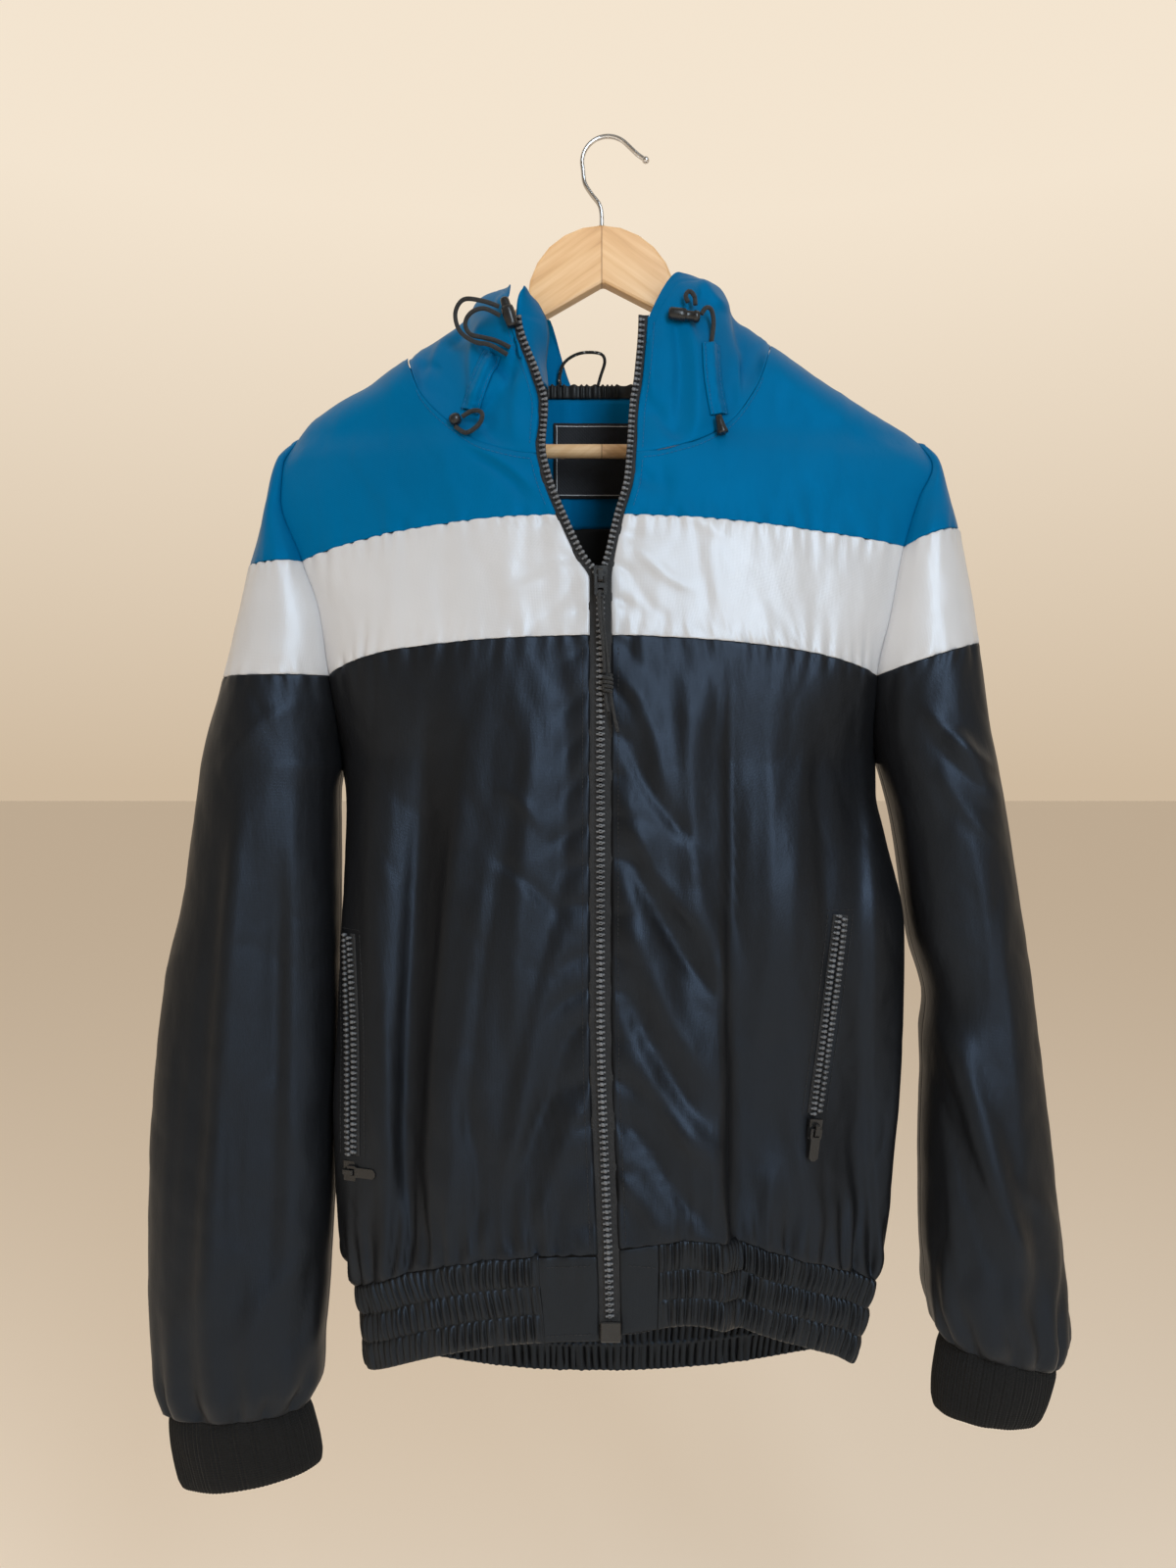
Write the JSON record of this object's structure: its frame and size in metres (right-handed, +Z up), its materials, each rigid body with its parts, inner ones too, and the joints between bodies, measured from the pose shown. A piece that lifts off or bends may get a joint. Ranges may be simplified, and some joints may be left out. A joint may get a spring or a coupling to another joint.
{
  "type": "windbreaker jacket on hanger",
  "caption": "Hooded windbreaker jacket in blue, white and charcoal bands with a front zip, pocket zips, knitted cuffs and an elastic hem, hung open on a wooden hanger.",
  "frame": {"origin": "inner top of the bend of the hanger's hook, where it rests on its rail", "axes": "+X towards the viewer's right, +Y from the jacket's front to its back, +Z up"},
  "size_m": [0.6306, 0.1378, 0.9394],
  "materials": {
    "blue_cloth": "woven nylon, soft sheen",
    "white_cloth": "woven nylon, soft sheen",
    "charcoal_cloth": "woven nylon, soft sheen",
    "rib_knit": "knitted rib and elastic, matt",
    "lining": "thin lining, matt",
    "label": "woven label, matt, bare",
    "cord": "braided cord, matt",
    "plastic": "moulded plastic, half matt",
    "zip_teeth": "moulded teeth on woven tape",
    "wood": "clear-lacquered pine",
    "steel": "bright plated wire"
  },
  "bodies": {
    "jacket_on_hanger": {"back_band": "white_cloth", "back_facing": "blue_cloth", "back_lining": "lining", "back_lower": "charcoal_cloth", "back_yoke": "blue_cloth", "cord_lock_left": "plastic", "cord_lock_right": "plastic", "cord_stop_left": "plastic", "cord_stop_right": "plastic", "cord_tunnel_left": "blue_cloth", "cord_tunnel_right": "blue_cloth", "cuff_left": "rib_knit", "cuff_right": "rib_knit", "front_band_left": "white_cloth", "front_band_right": "white_cloth", "front_lower_left": "charcoal_cloth", "front_lower_right": "charcoal_cloth", "front_yoke_left": "blue_cloth", "front_yoke_right": "blue_cloth", "hanger_bar": "wood", "hanger_hook": "steel", "hanger_wood": "wood", "hanging_loop": "cord", "hem_block_left": "charcoal_cloth", "hem_block_right": "charcoal_cloth", "hem_elastic": "rib_knit", "hood_cord_left_inner": "cord", "hood_cord_left_low": "cord", "hood_cord_left_outer": "cord", "hood_cord_right_high": "cord", "hood_cord_right_low": "cord", "hood_left": "blue_cloth", "hood_right": "blue_cloth", "neck_label": "label", "neck_tape": "lining", "pocket_slider_left": "plastic", "pocket_slider_right": "plastic", "pocket_zip_left": "zip_teeth", "pocket_zip_right": "zip_teeth", "sleeve_band_left": "white_cloth", "sleeve_band_right": "white_cloth", "sleeve_cap_left": "blue_cloth", "sleeve_cap_right": "blue_cloth", "sleeve_main_left": "charcoal_cloth", "sleeve_main_right": "charcoal_cloth", "zip_box": "plastic", "zip_slider": "plastic", "zip_tape_left": "zip_teeth", "zip_tape_right": "zip_teeth"},
    "main_zip_pull": {"zip_pull": "plastic", "zip_cord_loop": "cord", "zip_cord_knot": "cord", "zip_cord_tail_left": "cord", "zip_cord_tail_right": "cord"},
    "left_pocket_pull": {"pocket_pull_left": "plastic"},
    "right_pocket_pull": {"pocket_pull_right": "plastic"}
  },
  "joints": [
    {"name": "main_zip_pull_hinge", "type": "hinge", "parent": "jacket_on_hanger", "child": "main_zip_pull", "pos_m": [-0.006, -0.07378, -0.32], "axis": [-1, 0, 0], "range_deg": [0, 160]},
    {"name": "left_pocket_pull_hinge", "type": "hinge", "parent": "jacket_on_hanger", "child": "left_pocket_pull", "pos_m": [-0.17277, -0.05158, -0.71102], "axis": [0.0134, -0.002, -0.9999], "range_deg": [0, 160]},
    {"name": "right_pocket_pull_hinge", "type": "hinge", "parent": "jacket_on_hanger", "child": "right_pocket_pull", "pos_m": [0.13698, -0.05252, -0.68328], "axis": [-0.9604, -0.2562, 0.1098], "range_deg": [0, 160]}
  ]
}
